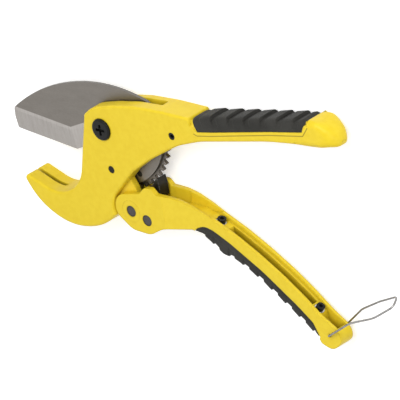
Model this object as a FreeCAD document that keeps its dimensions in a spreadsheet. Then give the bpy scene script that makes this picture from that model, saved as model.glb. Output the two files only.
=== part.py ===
import FreeCAD, Part
import math
import os

# Ratcheting pipe cutter, lying on its far side: X runs along the upper handle, Y points from the
# hook jaw to the top of the head, and Z stands up from the table. The origin is where the blade's
# pivot axis meets the table. All lengths are millimetres, all angles degrees.

Vector = FreeCAD.Vector
Z_AXIS = Vector(0, 0, 1)

doc = FreeCAD.newDocument("pipe_cutter")
sheet = doc.addObject("Spreadsheet::Sheet", "sizes")

SIZES = [
    ("body_thick", 20.0, "thickness of the body casting"),
    ("seat_radius", 24.0, "radius of the pipe seat in the hook jaw"),
    ("hook_x", -32.2, "centre of the hook's outer arc"),
    ("hook_y", -28.1, "centre of the hook's outer arc"),
    ("hook_radius", 41.1, "radius of the hook's outer arc"),
    ("edge_round", 1.6, "rounding along the casting's outer edges"),
    ("lug_thick", 11.2, "thickness of the lug between the handle's cheeks"),
    ("ear_radius", 7.6, "radius of the lug's ear round the handle pin"),
    ("recess_radius", 13.5, "recess in the body round the handle's nose"),
    ("slot_mid", 8.6, "height of the middle of the ratchet slot"),
    ("slot_width", 5.8, "width of the ratchet slot in head and lug"),
    ("slot_radius", 45.6, "reach of the ratchet slot from the pivot"),
    ("head_front", 9.2, "ratchet slot's front wall, ahead of the pivot"),
    ("blade_mid", 9.6, "height of the blade's middle plane"),
    ("blade_thick", 2.0, "thickness of the blade"),
    ("blade_gap", 0.3, "clearance each side of the blade in its slot"),
    ("blade_back_radius", 123.6, "radius of the blade's back"),
    ("blade_tail_radius", 39.6, "radius of the blade's tail"),
    ("bevel_width", 12.0, "width of the blade's ground bevel"),
    ("bevel_depth", 0.9, "what the bevel takes off each side at the edge"),
    ("blade_close", 30.0, "turn of the blade from rest to closed"),
    ("blade_open", 38.0, "turn of the blade from rest to open"),
    ("plate_thick", 2.5, "thickness of the ratchet plate"),
    ("tip_radius", 43.5, "radius over the tooth tips"),
    ("root_radius", 40.9, "radius of the tooth roots"),
    ("hub_radius", 8.4, "radius of the ratchet plate's hub"),
    ("tooth_pitch", 7.03, "angle from one tooth to the next"),
    ("first_tooth", -2.0, "angle of the first tooth tip"),
    ("bolt_shank", 4.0, "radius of the pivot bolt's shank"),
    ("bolt_head", 6.9, "radius of the pivot bolt's head"),
    ("bolt_head_thick", 2.6, "thickness of the bolt's head"),
    ("bolt_sink", 1.0, "depth of the seat of the bolt's head"),
    ("bolt_floor", 2.5, "metal left below the bolt's blind hole"),
    ("bush_wall", 1.0, "wall of the pivot bush"),
    ("run_gap", 0.05, "running clearance of pins, round the shaft"),
    ("pin_x", 12.6, "handle pin"),
    ("pin_y", -52.2, "handle pin"),
    ("pin_radius", 3.6, "radius of the handle pin and the pawl pin"),
    ("pawl_x", 24.6, "pawl pin"),
    ("pawl_y", -56.4, "pawl pin"),
    ("stop_x", 2.4, "stop pin"),
    ("stop_y", -26.2, "stop pin"),
    ("anchor_x", 57.2, "spring pin"),
    ("anchor_y", 4.6, "spring pin"),
    ("small_pin", 2.4, "radius of the stop pin and the spring pin"),
    ("pin_sink", 0.3, "how far a pin's ends lie below the faces"),
    ("cheek_thick", 3.5, "thickness of a handle cheek"),
    ("cheek_gap", 0.3, "gap from the lug to a cheek"),
    ("tail_thick", 12.6, "width of the lower handle at its grip"),
    ("taper_start", 38.0, "where the lower handle starts to narrow"),
    ("taper_end", 76.0, "where the lower handle has its grip's width"),
    ("wall", 2.3, "wall of the lower handle's channel"),
    ("ledge_depth", 2.5, "depth of the ledge below the lower handle's rim"),
    ("slot_depth", 8.4, "depth of the slot between the ledges, below the rim"),
    ("ledge_slot", 5.6, "width of the slot between the ledges"),
    ("crown_round", 5.5, "rounding along the back of the upper handle and its grip"),
    ("end_round", 7.0, "rounding of the upper handle's end, seen on its back"),
    ("grip_thick", 2.2, "thickness of the grips over the handles"),
    ("grip_sink", 2.0, "depth of the grips' seats in the upper handle's sides"),
    ("grip_side", 1.4, "depth of the lower grip's seats in the handle's sides"),
    ("screw_radius", 1.5, "radius of the grip screws' shanks"),
    ("screw_head", 2.7, "radius of the grip screws' heads"),
    ("washer_radius", 3.3, "radius of the grip screws' washers"),
    ("washer_thick", 0.6, "thickness of all washers"),
    ("bail_wire", 1.3, "thickness of the bail's wire"),
    ("bail_x", 157.2, "bail's hole"),
    ("bail_y", -111.0, "bail's hole"),
    ("bail_angle", 28.0, "direction of the bail at rest"),
]

for row, (alias, value, meaning) in enumerate(SIZES, start=1):
    sheet.set(f"A{row}", meaning)
    sheet.set(f"B{row}", str(value))
    sheet.setAlias(f"B{row}", alias)
doc.recompute()


def size(alias):
    """The number in the sheet's cell of that name."""
    return float(sheet.get(alias))


def polar(centre, radius, angle):
    """The point at a radius and an angle round a centre, as an (x, y) pair."""
    turn = math.radians(angle)
    return centre[0] + radius * math.cos(turn), centre[1] + radius * math.sin(turn)


def turned(point, angle):
    """A point turned round the origin."""
    turn = math.radians(angle)
    x, y = point
    return x * math.cos(turn) - y * math.sin(turn), x * math.sin(turn) + y * math.cos(turn)


def round_corners(centre, radius, start, end, count):
    """Corners of the tangent polygon of an arc, each rounded with the arc's own radius."""
    step = (end - start) / count
    reach = radius / math.cos(math.radians(step / 2))
    return [polar(centre, reach, start + step * (i + 0.5)) + (radius,) for i in range(count)]


def outline(corners):
    """Edges of a closed polygon whose corners (x, y, radius) are rounded by tangent arcs."""
    points = [Vector(c[0], c[1], 0) for c in corners]
    radii = [c[2] if len(c) > 2 else 0.0 for c in corners]
    count = len(points)
    sides = [(points[(i + 1) % count] - points[i]).normalize() for i in range(count)]
    lengths = [(points[(i + 1) % count] - points[i]).Length for i in range(count)]
    halves = [math.acos(max(-1.0, min(1.0, -sides[i - 1].dot(sides[i])))) / 2 for i in range(count)]
    reaches = [radii[i] / math.tan(halves[i]) for i in range(count)]
    for i in range(count):
        both = reaches[i] + reaches[(i + 1) % count]
        if both > lengths[i]:
            reaches[i] *= lengths[i] / both
            reaches[(i + 1) % count] *= lengths[i] / both
    starts, ends, arcs = [], [], []
    for i, corner in enumerate(points):
        starts.append(corner - sides[i - 1] * reaches[i])
        ends.append(corner + sides[i] * reaches[i])
        if reaches[i] > 1e-6 and halves[i] < math.radians(89.99):
            radius = reaches[i] * math.tan(halves[i])
            middle = (sides[i] - sides[i - 1]).normalize()
            arcs.append((corner + middle * (radius / math.sin(halves[i])), radius))
        else:
            arcs.append(None)
    edges = []
    for i in range(count):
        if arcs[i]:
            centre, radius = arcs[i]
            first = math.atan2(starts[i].y - centre.y, starts[i].x - centre.x)
            last = math.atan2(ends[i].y - centre.y, ends[i].x - centre.x)
            swing = (last - first + math.pi) % (2 * math.pi) - math.pi
            circle = Part.Circle(centre, Z_AXIS, radius)
            low, high = (first, first + swing) if swing > 0 else (first + swing, first)
            edges.append(Part.ArcOfCircle(circle, low, high))
        following = starts[(i + 1) % count]
        if (following - ends[i]).Length > 1e-5:
            edges.append(Part.LineSegment(ends[i], following))
    return edges


def disc(x, y, radius):
    """A full circle as a sketch outline."""
    return [Part.Circle(Vector(x, y, 0), Z_AXIS, radius)]


def new_body(label):
    body = doc.addObject("PartDesign::Body", label)
    body.Label = label
    return body


def add_sketch(body, name, outlines, height="0", plane="XY_Plane"):
    """A sketch on one of the body's origin planes, raised by a height written as an expression."""
    sketch = body.newObject("Sketcher::SketchObject", name)
    support = next(o for o in body.Origin.OriginFeatures if o.Role == plane)
    sketch.AttachmentSupport = [(support, "")]
    sketch.MapMode = "FlatFace"
    for edges in outlines:
        for edge in edges:
            sketch.addGeometry(edge, False)
    sketch.setExpression("AttachmentOffset.Base.z", height)
    return sketch


def pad(body, name, outlines, low, high):
    """A pad between two heights, which are expressions of the sheet's sizes."""
    feature = body.newObject("PartDesign::Pad", name)
    feature.Profile = add_sketch(body, name + "_sketch", outlines, low)
    feature.setExpression("Length", f"({high}) - ({low})")
    doc.recompute()
    return feature


def pocket(body, name, outlines, low, high):
    """A pocket between two heights. It must take metal away."""
    before = body.Tip.Shape.Volume
    feature = body.newObject("PartDesign::Pocket", name)
    feature.Profile = add_sketch(body, name + "_sketch", outlines, high)
    feature.setExpression("Length", f"({high}) - ({low})")
    doc.recompute()
    if feature.Shape.isNull() or feature.Shape.Volume > before - 1e-3:
        raise RuntimeError(f"{body.Label}: {name} cuts nothing")
    return feature


def edges_at(feature, heights, tolerance=1e-4):
    """Names of the edges of a feature that lie wholly at one of the heights."""
    names = []
    for i, edge in enumerate(feature.Shape.Edges, start=1):
        box = edge.BoundBox
        if any(abs(box.ZMin - z) < tolerance and abs(box.ZMax - z) < tolerance for z in heights):
            names.append(f"Edge{i}")
    return names


def fillet(body, name, feature, edges, radius):
    rounding = body.newObject("PartDesign::Fillet", name)
    rounding.Base = (feature, edges)
    rounding.setExpression("Radius", radius)
    doc.recompute()
    return rounding


def bore(body, name, point, axis, radius, depth):
    """A round hole that starts at a point and runs along an axis."""
    before = body.Tip.Shape.Volume
    sketch = add_sketch(body, name + "_sketch", [disc(0, 0, radius)])
    sketch.setExpression("AttachmentOffset.Base.z", None)
    sketch.AttachmentOffset = FreeCAD.Placement(point, FreeCAD.Rotation(Z_AXIS, axis * -1))
    hole = body.newObject("PartDesign::Pocket", name)
    hole.Profile = sketch
    hole.Length = depth
    doc.recompute()
    if hole.Shape.isNull() or hole.Shape.Volume > before - 1e-3:
        raise RuntimeError(f"{body.Label}: {name} cuts nothing")


S = "sizes."
ORIGIN = (0.0, 0.0)
HANDLE_PIN = (size("pin_x"), size("pin_y"))
PAWL_PIN = (size("pawl_x"), size("pawl_y"))
STOP_PIN = (size("stop_x"), size("stop_y"))
ANCHOR_PIN = (size("anchor_x"), size("anchor_y"))
BODY_TOP = "sizes.body_thick"
MID = "sizes.body_thick / 2"
LUG = ("sizes.body_thick / 2 - sizes.lug_thick / 2", "sizes.body_thick / 2 + sizes.lug_thick / 2")
SLOT = ("sizes.slot_mid - sizes.slot_width / 2", "sizes.slot_mid + sizes.slot_width / 2")
BLADE_LOW = "sizes.blade_mid - sizes.blade_thick / 2"
BLADE_HIGH = "sizes.blade_mid + sizes.blade_thick / 2"
BLADE_SLOT = (BLADE_LOW + " - sizes.blade_gap", BLADE_HIGH + " + sizes.blade_gap")
PLATE = (BLADE_LOW + " - sizes.plate_thick", BLADE_LOW)
RUN = size("run_gap")

# ---------------------------------------------------------------- places of the grips' screws
def screw_at(x, y, bearing, length):
    """A grip screw: where its washer sits, which way it points and how long its shank is."""
    turn = math.radians(bearing)
    return Vector(x, y, size("body_thick") / 2), Vector(math.cos(turn), math.sin(turn), 0), length


LOWER_SCREWS = [screw_at(77.0, -52.5, -112.0, 11.2), screw_at(146.3, -97.8, -130.0, 9.9)]
UPPER_SCREWS = [screw_at(104.0, 13.1, 97.8, 8.6), screw_at(146.0, 19.6, 97.8, 7.9)]


# ---------------------------------------------------------------- upper grip's outline
# The grip's front end, its lower border on the side faces, its rear end and its ribbed top.
UPPER_LIP = [(78.5, 10.6, 4), (90.0, 12.2, 60), (138.0, 20.4, 200), (165.0, 24.4, 1.5)]
UPPER_END = (168.5, 31.6)
UPPER_TOP = [(160.5, 30.5), (76.0, 18.9)]
BACK_SLOPE = 7.8
RIBS = 7


def upper_core():
    """The upper handle's back below the grip, from its rear to its front."""
    drop = size("grip_thick")
    return [(UPPER_END[0], UPPER_END[1] - drop, 0.5), (73.6, 18.6 - drop, 1.0)]


def upper_grip_corners():
    """Side view of the upper grip, with its ribbed top."""
    (x0, y0), (x1, y1) = UPPER_TOP
    top = []
    for i in range(RIBS):
        share = i / RIBS
        x, y = x0 + (x1 - x0) * share, y0 + (y1 - y0) * share
        top += [(x, y + 0.9, 0.8), (x - 0.9, y - 0.3, 0.5)]
    rear = (UPPER_END[0] - 0.3, UPPER_END[1] - 0.3, 1.0)
    return UPPER_LIP + [rear] + top + [(75.0, 18.7, 1.0), (73.9, 13.6, 3)]


# ---------------------------------------------------------------- body casting
def round_back(body, name, start, bearing, length, side):
    """Rounds both edges of a handle's back, or of its belly where side is -1, along a bearing."""
    along = Vector(math.cos(math.radians(bearing)), math.sin(math.radians(bearing)), 0)
    outward = Z_AXIS.cross(along) * side
    radius, thick = size("crown_round"), size("body_thick")
    beyond, deep = 6.0, radius + 1.0
    near = [(0.0, thick - radius - 1), (0.0, thick, radius), (-deep, thick), (-deep, thick + beyond),
            (beyond, thick + beyond), (beyond, thick - radius - 1)]
    far = [(x, thick - z) + tuple(rest) for x, z, *rest in near]
    sketch = add_sketch(body, name + "_corners", [outline(near), outline(far)], plane="XZ_Plane")
    sketch.setExpression("AttachmentOffset.Base.z", None)
    upright = FreeCAD.Rotation(Vector(1, 0, 0), Z_AXIS, Vector(0, -1, 0), "XYZ").inverted()
    turn = upright.multiply(FreeCAD.Rotation(outward, Z_AXIS, outward.cross(Z_AXIS), "XYZ"))
    sketch.AttachmentOffset = FreeCAD.Placement(upright.multVec(Vector(start[0], start[1], 0)), turn)
    before = body.Tip.Shape.Volume
    cut = body.newObject("PartDesign::Pocket", name)
    cut.Profile = sketch
    cut.Length = length
    cut.Reversed = outward.cross(Z_AXIS).dot(along) > 0
    doc.recompute()
    if cut.Shape.isNull() or cut.Shape.Volume > before - 1e-3:
        raise RuntimeError(f"{body.Label}: {name} cuts nothing")


def round_end(body):
    """Rounds the upper handle's end across its thickness."""
    tip, thick, radius = 189.7, size("body_thick"), size("end_round")
    near = [(tip - radius - 1, thick), (tip, thick, radius), (tip, thick - radius - 1),
            (tip + 5, thick - radius - 1), (tip + 5, thick + 4), (tip - radius - 1, thick + 4)]
    far = [(x, thick - z) + tuple(rest) for x, z, *rest in near]
    cut = body.newObject("PartDesign::Pocket", "round_end")
    cut.Profile = add_sketch(body, "round_end_sketch", [outline(near), outline(far)], plane="XZ_Plane")
    cut.SideType = "Symmetric"
    cut.Length = 400
    doc.recompute()


def make_body_casting():
    body = new_body("body_casting")
    hook = (size("hook_x"), size("hook_y"))
    profile = [(-74.6, -38.6, 2.4)]
    profile += round_corners(hook, size("hook_radius"), -155, -44, 3)
    profile += [(HANDLE_PIN[0] - 13.2, HANDLE_PIN[1] - 4.6, 0.8)]
    profile += round_corners(HANDLE_PIN, size("recess_radius"), 192, 128, 2)
    profile += [
        (19.4, -25.4, 1.5), (34.5, -15.2, 40), (60.0, -1.6, 45), (79.0, 4.2, 60),
        (135.0, 13.4, 200), (160.0, 15.6, 100), (181.0, 15.2, 10), (187.8, 15.6, 3.5),
        (189.7, 20.5, 6), (185.2, 28.6, 8), (178.5, 32.6, 8), (169.2, 32.2, 0.8),
    ]
    profile += upper_core() + [
        (72.9, 18.8, 1.0), (50.0, 19.8, 60), (28.0, 19.4, 60), (10.0, 16.9, 40),
        (-6.0, 13.4, 20), (-13.4, 7.6, 3), (-30.5, -57.8, size("seat_radius")),
    ]
    block = pad(body, "block", [outline(profile)], "0", BODY_TOP)
    fillet(body, "rounded_edges", block, edges_at(block, (0.0, size("body_thick"))), S + "edge_round")
    round_back(body, "end_crown", (169.3, 32.5), BACK_SLOPE, 40.0, 1)
    round_back(body, "end_keel", (158.0, 13.0), 5.0, 50.0, -1)
    round_end(body)

    ear = size("ear_radius")
    lug = [(-8.0, -40.0), (-5.0, -56.0, 1)]
    lug += round_corners(HANDLE_PIN, ear, -125, 20, 3)
    lug += [(15.8, -38.0, 3), (9.6, -27.0, 1), (5.0, -24.0)]
    pad(body, "lug", [outline(lug)], *LUG)

    for side, low, high in (("far", "0", S + "grip_sink"),
                            ("near", BODY_TOP + " - sizes.grip_sink", BODY_TOP)):
        seat = UPPER_LIP + [UPPER_END, (170.0, 40.0), (72.5, 30.0), (73.2, 13.5, 3)]
        pocket(body, "grip_seat_" + side, [outline(seat)], low, high)

    # The slots: a thin one for the blade through head and hook, a wide one for the ratchet.
    close = size("blade_close")
    tip = turned((-79.8, -15.7), close)
    heel = turned((-33.6, -22.6), close)
    run_x, run_y = heel[0] - tip[0], heel[1] - tip[1]
    floor = 0.9
    outer = (tip[0] - run_x * 0.7, tip[1] - run_y * 0.7 - floor)
    blade_slot = [(-95.0, 60.0), (-95.0, outer[1]), outer, (heel[0] + 1, heel[1] + 0.4 - floor, 2),
                  (2.0, -30.0), (2.0, 60.0)]
    pocket(body, "blade_slot", [outline(blade_slot)], *BLADE_SLOT)
    front = -size("head_front")
    wide = [(front, 60.0), (front, 4.0, 8), (-20.4, -30.0, 3), polar(ORIGIN, size("slot_radius"), -121)]
    wide += round_corners(ORIGIN, size("slot_radius"), -121, 0, 3)
    wide += [(size("slot_radius"), 60.0)]
    pocket(body, "ratchet_slot", [outline(wide)], *SLOT)
    bay = [(38.0, -25.0), (66.0, -25.0), (66.0, 8.0, 4), (60.0, 12.0, 4), (38.0, 12.0)]
    pocket(body, "spring_bay", [outline(bay)], *SLOT)
    x, y = HANDLE_PIN
    lug_slot = [(x - 6.5, y - 14.0), (x + 30.0, y - 14.0), (x + 30.0, y + 26.0), (x - 3.0, y + 20.0),
                (x - 6.5, y + 10.0)]
    pocket(body, "pawl_slot", [outline(lug_slot)], *SLOT)
    channel = [(88.0, 0.0), (150.0, 8.0), (181.0, 15.0), (177.0, 22.6, 3), (150.0, 20.0, 60),
               (98.0, 12.0, 20), (86.0, 8.6, 3)]
    pocket(body, "handle_channel", [outline(channel)], "sizes.grip_sink + 2.2",
           BODY_TOP + " - sizes.grip_sink - 2.2")

    for i, (point, axis, length) in enumerate(UPPER_SCREWS, start=1):
        bore(body, f"spot_face_{i}", point - axis * 6, axis, size("washer_radius") + 0.2, 6.0)
        bore(body, f"screw_hole_{i}", point, axis, size("screw_radius") + 0.03, length + 3)

    # The bores.
    pocket(body, "bolt_seat", [disc(0, 0, size("bolt_head") + 0.1)],
           BODY_TOP + " - sizes.bolt_sink", BODY_TOP)
    pocket(body, "bolt_hole", [disc(0, 0, size("bolt_shank") + RUN)], S + "bolt_floor", BODY_TOP)
    small = size("small_pin") + 0.02
    pocket(body, "pin_holes", [disc(*STOP_PIN, small), disc(*ANCHOR_PIN, small)], "0", BODY_TOP)
    pocket(body, "handle_pin_hole", [disc(*HANDLE_PIN, size("pin_radius") + RUN)], *LUG)
    return body


# ---------------------------------------------------------------- blade and ratchet plate
BLADE_TIP = (-79.8, -15.7)
BLADE_HEEL = (-33.6, -22.6)
HEEL_BEARING = 21.8


def stop_slot(widen):
    """Open-ended arc slot round the pivot that lets blade and plate pass the stop pin."""
    radius = math.hypot(*STOP_PIN)
    bearing = math.degrees(math.atan2(STOP_PIN[1], STOP_PIN[0]))
    half = size("small_pin") + widen
    end = bearing + size("blade_open") + 1.5
    start = bearing - size("blade_close") - 12
    inner = round_corners(ORIGIN, radius - half, start, end, 4)
    outer = round_corners(ORIGIN, radius + half, end, start, 4)
    cap = [polar(ORIGIN, radius - half, end + 5.5) + (half,), polar(ORIGIN, radius + half, end + 5.5) + (half,)]
    return [polar(ORIGIN, radius - half, start)] + inner + cap + outer + [polar(ORIGIN, radius + half, start)]


RIVETS = [polar(ORIGIN, 34.5, -17), polar(ORIGIN, 34.5, -62), polar(ORIGIN, 15.5, -48)]


def make_blade():
    body = new_body("blade")
    tail = size("blade_tail_radius")
    back = (-2.5, 27.2 - size("blade_back_radius") - 2.0)
    corners = [(-80.6, -8.5, 6), BLADE_TIP + (0.6,), BLADE_HEEL + (0.6,), (-12.0, -14.0, 8)]
    corners += [polar(ORIGIN, tail, -80) + (1.0,)]
    corners += round_corners(ORIGIN, tail, -77, 18, 3)
    corners += [(33.0, 19.0, 5)]
    corners += round_corners(back, size("blade_back_radius"), 75.5, 127.0, 4)
    corners += [(-79.9, -2.0, 3)]
    plate = pad(body, "steel", [outline(corners)], BLADE_LOW, BLADE_HIGH)
    pocket(body, "stop_slot", [outline(stop_slot(0.4))], BLADE_LOW, BLADE_HIGH)
    bush = size("bolt_shank") + size("bush_wall") + 2 * RUN
    pocket(body, "pivot_bore", [disc(0, 0, bush)] + [disc(x, y, 2.02) for x, y in RIVETS],
           BLADE_LOW, BLADE_HIGH)
    run = math.hypot(BLADE_HEEL[0] - BLADE_TIP[0], BLADE_HEEL[1] - BLADE_TIP[1])
    bearing = math.degrees(math.atan2(BLADE_HEEL[1] - BLADE_TIP[1], BLADE_HEEL[0] - BLADE_TIP[0]))
    grind(body, "cutting", BLADE_HEEL, bearing, run + 10, False)
    grind(body, "heel", BLADE_HEEL, HEEL_BEARING, 21.0, True)
    return body


def grind(body, name, start, bearing, length, onward):
    """Grinds both faces of the blade down towards an edge that runs from start along a bearing."""
    along = Vector(math.cos(math.radians(bearing)), math.sin(math.radians(bearing)), 0)
    inward = Z_AXIS.cross(along)
    low = size("blade_mid") - size("blade_thick") / 2
    high = size("blade_mid") + size("blade_thick") / 2
    width, depth = size("bevel_width"), size("bevel_depth")
    slope = depth / width
    near = [(-2.0, high - depth - 2 * slope), (width + 2, high + 2 * slope), (-2.0, high + 2 * slope)]
    far = [(-2.0, low + depth + 2 * slope), (-2.0, low - 2 * slope), (width + 2, low - 2 * slope)]
    sketch = add_sketch(body, name + "_wedges", [outline(near), outline(far)], plane="XZ_Plane")
    sketch.setExpression("AttachmentOffset.Base.z", None)
    upright = FreeCAD.Rotation(Vector(1, 0, 0), Z_AXIS, Vector(0, -1, 0), "XYZ").inverted()
    turn = upright.multiply(FreeCAD.Rotation(inward, Z_AXIS, along, "XYZ"))
    sketch.AttachmentOffset = FreeCAD.Placement(upright.multVec(Vector(start[0], start[1], 0)), turn)
    before = body.Tip.Shape.Volume
    cut = body.newObject("PartDesign::Pocket", name + "_bevel")
    cut.Profile = sketch
    cut.Length = length
    cut.Reversed = onward
    doc.recompute()
    if cut.Shape.isNull() or cut.Shape.Volume > before - 1e-3:
        raise RuntimeError("blade: " + name + " bevel cuts nothing")


def teeth():
    """Saw teeth along the plate's rim, from the last tooth to the first, as outline corners."""
    corners = []
    first, pitch = size("first_tooth"), size("tooth_pitch")
    root, tip = size("root_radius"), size("tip_radius")
    for i in range(11, -1, -1):
        angle = first - i * pitch
        corners.append(polar(ORIGIN, root, angle - pitch * 0.35) + (0.3,))
        corners.append(polar(ORIGIN, tip, angle - pitch * 0.08) + (0.2,))
        corners.append(polar(ORIGIN, tip, angle + pitch * 0.08) + (0.2,))
        corners.append(polar(ORIGIN, root, angle + pitch * 0.2) + (0.3,))
    return corners


def make_ratchet_plate():
    body = new_body("ratchet_plate")
    hub = size("hub_radius")
    corners = teeth()
    corners += [polar(ORIGIN, size("root_radius"), 3) + (1.5,)]
    corners += round_corners(ORIGIN, hub, 60, 240, 3)
    pad(body, "steel", [outline(corners)], *PLATE)
    pocket(body, "stop_slot", [outline(stop_slot(0.4))], *PLATE)
    bush = size("bolt_shank") + size("bush_wall") + 2 * RUN
    pocket(body, "pivot_bore", [disc(0, 0, bush)] + [disc(x, y, 2.02) for x, y in RIVETS], *PLATE)
    return body


def group(name, shapes):
    """Separate solids of one kind, kept in one node."""
    item = doc.addObject("Part::Feature", name)
    item.Label = name
    item.Shape = Part.makeCompound(shapes)
    return item


def post(x, y, radius, low, high):
    return Part.makeCylinder(radius, high - low, Vector(x, y, low))


def ring(x, y, inner, outer, low, high):
    return post(x, y, outer, low, high).cut(post(x, y, inner, low, high))


def make_blade_rivets():
    low = size("blade_mid") - size("blade_thick") / 2 - size("plate_thick")
    high = size("blade_mid") + size("blade_thick") / 2
    return group("blade_rivets", [post(x, y, 2.0, low, high) for x, y in RIVETS])


# ---------------------------------------------------------------- bolt, bush and pins
def make_pivot_bolt():
    body = new_body("pivot_bolt")
    seat = size("body_thick") - size("bolt_sink")
    top = seat + size("bolt_head_thick")
    shank, head = size("bolt_shank"), size("bolt_head")
    foot = size("bolt_floor") + 0.4
    half = [(0.0, foot), (shank - 0.6, foot), (shank, foot + 0.6), (shank, seat), (head, seat),
            (head, top - 0.5, 0.5), (head - 1.2, top, 0.6), (0.0, top)]
    sketch = add_sketch(body, "half_section", [outline(half)], plane="XZ_Plane")
    turn = body.newObject("PartDesign::Revolution", "turned")
    turn.Profile = sketch
    turn.ReferenceAxis = (sketch, ["V_Axis"])
    turn.Angle = 360
    doc.recompute()
    arm, width = head * 0.52, 0.9
    cross = [(arm, -width), (arm, width), (width, width), (width, arm), (-width, arm),
             (-width, width), (-arm, width), (-arm, -width), (-width, -width), (-width, -arm),
             (width, -arm), (width, -width)]
    high = "sizes.body_thick - sizes.bolt_sink + sizes.bolt_head_thick"
    pocket(body, "cross_recess", [outline(cross)], high + " - 1.9", high)
    return body


def make_bush():
    low = size("slot_mid") - size("slot_width") / 2 + 0.05
    high = size("slot_mid") + size("slot_width") / 2 - 0.05
    inner = size("bolt_shank") + RUN
    return group("pivot_bush", [ring(0, 0, inner, inner + size("bush_wall"), low, high)])


def make_pins():
    low, high = size("pin_sink"), size("body_thick") - size("pin_sink")
    small = size("small_pin")
    group("stop_pin", [post(*STOP_PIN, small, low, high)])
    roll = ring(*ANCHOR_PIN, small * 0.5, small, low, high)
    slit = Part.makeBox(small, 0.6, high - low, Vector(ANCHOR_PIN[0], ANCHOR_PIN[1] - 0.3, low))
    group("spring_pin", [roll.cut(slit)])


def coil(centre, radius, wire, low, turns, first, lengths):
    """A torsion spring round an upright axis: a close coil with a straight leg at each end.

    The lower leg leaves at the bearing called first, and the upper leg where the turns end.
    """
    pitch = wire * 1.12
    middle = low + wire / 2
    helix = Part.makeHelix(pitch, pitch * turns, radius)
    helix.translate(Vector(centre[0], centre[1], middle))
    section = Part.Wire(Part.makeCircle(wire / 2, Vector(centre[0] + radius, centre[1], middle),
                                        Vector(0, 1, 0)))
    spring = Part.Wire(helix.Edges).makePipeShell([section], True, True)
    spring.rotate(Vector(centre[0], centre[1], 0), Z_AXIS, first)
    ends = ((first, middle, -1, lengths[0]), (first + 360 * turns, middle + pitch * turns, 1, lengths[1]))
    for bearing, height, spin, length in ends:
        x, y = polar(centre, radius, bearing)
        turn = math.radians(bearing)
        along = Vector(-math.sin(turn) * spin, math.cos(turn) * spin, 0)
        spring = spring.fuse(Part.makeCylinder(wire / 2, length, Vector(x, y, height), along))
    return spring


# ---------------------------------------------------------------- pawls and their springs
def make_holding_pawl():
    body = new_body("holding_pawl")
    x, y = HANDLE_PIN
    reach = size("tip_radius") + 0.45
    toe = polar(ORIGIN, reach, -57.3)
    back = polar(ORIGIN, reach, -60.6)
    shape = [toe + (0.4,), back + (0.4,), (x + 0.4, y + 7.0, 3)]
    shape += round_corners(HANDLE_PIN, 5.6, 120, 345, 3)
    shape += [(x + 7.2, y + 5.5, 3)]
    pad(body, "steel", [outline(shape)], *PLATE)
    pocket(body, "bore", [disc(x, y, size("pin_radius") + RUN)], *PLATE)
    return body


def make_drive_pawl():
    body = new_body("drive_pawl")
    x, y = PAWL_PIN
    reach = size("tip_radius") + 0.45
    toe = polar(ORIGIN, reach, -42.0)
    back = polar(ORIGIN, reach, -46.6)
    shape = [toe + (0.5,), back + (0.5,), (x + 1.2, y + 14.0, 8), (x - 4.6, y + 4.0, 4)]
    shape += round_corners(PAWL_PIN, 5.0, 170, 350, 2)
    shape += [(x + 6.8, y + 8.0, 6), (toe[0] + 0.9, toe[1] - 7.0, 6)]
    low, high = S + "slot_mid - 2.4", S + "slot_mid + 2.4"
    pad(body, "steel", [outline(shape)], low, high)
    head = [toe + (0.5,), back + (0.5,), (x + 1.8, y + 11.5, 1), (toe[0] + 0.9, toe[1] - 13.0, 1),
            (toe[0] + 0.9, toe[1] - 5.0, 6)]
    pad(body, "head", [outline(head)], S + "slot_mid - 3.0", S + "slot_mid + 5.0")
    pocket(body, "bore", [disc(x, y, size("pin_radius") + RUN)], low, high)
    return body


def make_springs():
    wire = 0.9
    spring = coil(HANDLE_PIN, size("pin_radius") + 0.2 + wire / 2, wire, size("slot_mid") + 0.2, 1.75, 150, (7.0, 5.0))
    group("holding_pawl_spring", [spring])
    low = size("slot_mid") + 2.5
    group("pawl_spring", [coil(PAWL_PIN, size("pin_radius") + 0.2 + wire / 2, wire, low, 2.75, 0,
                               (7.0, 9.0))])
    wire = 1.1
    low = size("slot_mid") - 2.5 * wire * 1.12 / 2 - wire / 2
    group("blade_spring", [coil(ANCHOR_PIN, size("small_pin") + 0.2 + wire / 2, wire, low, 2.5, -80,
                                (13.9, 5.0))])
    low = size("body_thick") / 2 - size("lug_thick") / 2 - size("cheek_gap")
    x, y = PAWL_PIN
    inner = size("pin_radius") + RUN
    group("pawl_spacer", [ring(x, y, inner, 4.6, low, size("slot_mid") - 2.45)])


# ---------------------------------------------------------------- lower handle
CHEEK_LOW = "sizes.body_thick / 2 - sizes.lug_thick / 2 - sizes.cheek_gap - sizes.cheek_thick"
CHEEK_HIGH = "sizes.body_thick / 2 + sizes.lug_thick / 2 + sizes.cheek_gap + sizes.cheek_thick"
FORK = ("sizes.body_thick / 2 - sizes.lug_thick / 2 - sizes.cheek_gap",
        "sizes.body_thick / 2 + sizes.lug_thick / 2 + sizes.cheek_gap")
RIM = [(46.0, -38.4, 20), (55.0, -40.0, 30), (67.0, -44.3, 60), (78.0, -49.5, 60), (93.0, -56.9, 90),
       (109.0, -66.3, 120), (126.0, -77.7, 120), (140.0, -88.6, 120), (152.0, -99.2, 60), (162.6, -106.0, 6)]
GRIP_BACK = [(147.6, -112.6), (128.0, -97.2), (107.0, -81.6), (93.0, -73.4), (80.0, -69.0), (72.0, -63.0),
             (60.0, -57.6)]
GRIP_FRONT = (59.4, -57.2)


LOWER_LIP = [(60.4, -58.2, 0.5), (63.2, -55.8, 2), (69.0, -53.8, 8), (75.0, -55.8, 20), (87.0, -62.0, 60),
             (111.0, -77.0, 90), (135.0, -95.2, 60), (145.6, -104.4, 6), (148.4, -111.0, 2)]


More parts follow.
